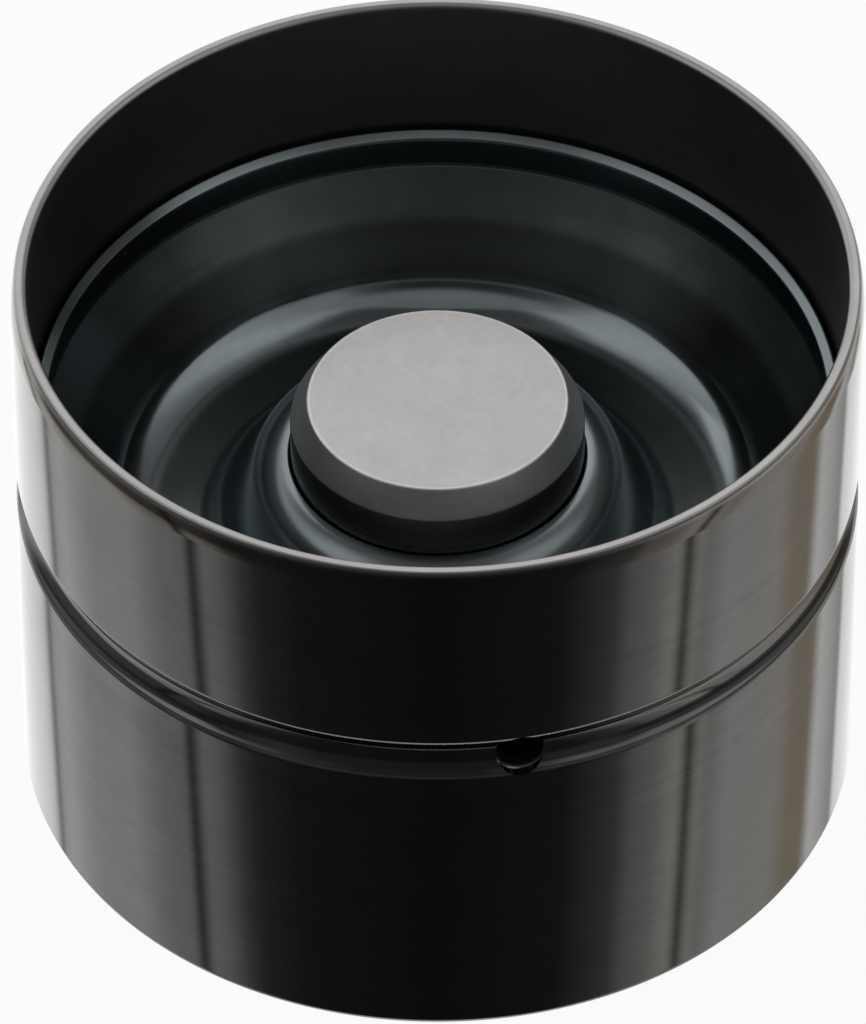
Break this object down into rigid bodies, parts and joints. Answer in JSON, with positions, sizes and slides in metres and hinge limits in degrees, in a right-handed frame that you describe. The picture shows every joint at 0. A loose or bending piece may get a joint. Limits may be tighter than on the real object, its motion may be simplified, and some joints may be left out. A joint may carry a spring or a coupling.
{
  "type": "hydraulic valve lifter",
  "caption": "Steel bucket lifter for an overhead camshaft, with an oil groove, a drawn guide, a sprung plunger and a ball check valve that take up valve lash.",
  "frame": {"origin": "centre of the cam face, on the lifter's axis", "axes": "+Z along the axis from the cam face to the open skirt and the valve; the oil feed hole is on the -Y side"},
  "size_m": [0.035, 0.035, 0.026],
  "materials": {
    "blackened_steel": "black, finely ground and polished",
    "drawn_steel": "smooth drawn sheet, dark blue-grey",
    "ground_steel": "matt ground",
    "spring_steel": "drawn wire",
    "polished_steel": "polished"
  },
  "bodies": {
    "bucket": {"bucket": "blackened_steel", "guide": "drawn_steel", "piston": "ground_steel", "ball_cage": "drawn_steel", "return_spring": "spring_steel", "ball_spring": "spring_steel"},
    "plunger": {"inner_housing": "ground_steel", "retaining_ring": "spring_steel"},
    "ball": {"check_ball": "polished_steel"}
  },
  "joints": [
    {"name": "plunger_slide", "type": "slide", "parent": "bucket", "child": "plunger", "axis": [0, 0, -1], "range_m": [0, 0.0025], "stiffness_N_per_m": 500, "springref_m": -0.004, "deforming": ["return_spring"]},
    {"name": "ball_lift", "type": "slide", "parent": "bucket", "child": "ball", "axis": [0, 0, 1], "range_m": [0, 0.0003], "stiffness_N_per_m": 20, "springref_m": -0.0005, "deforming": ["ball_spring"]}
  ]
}
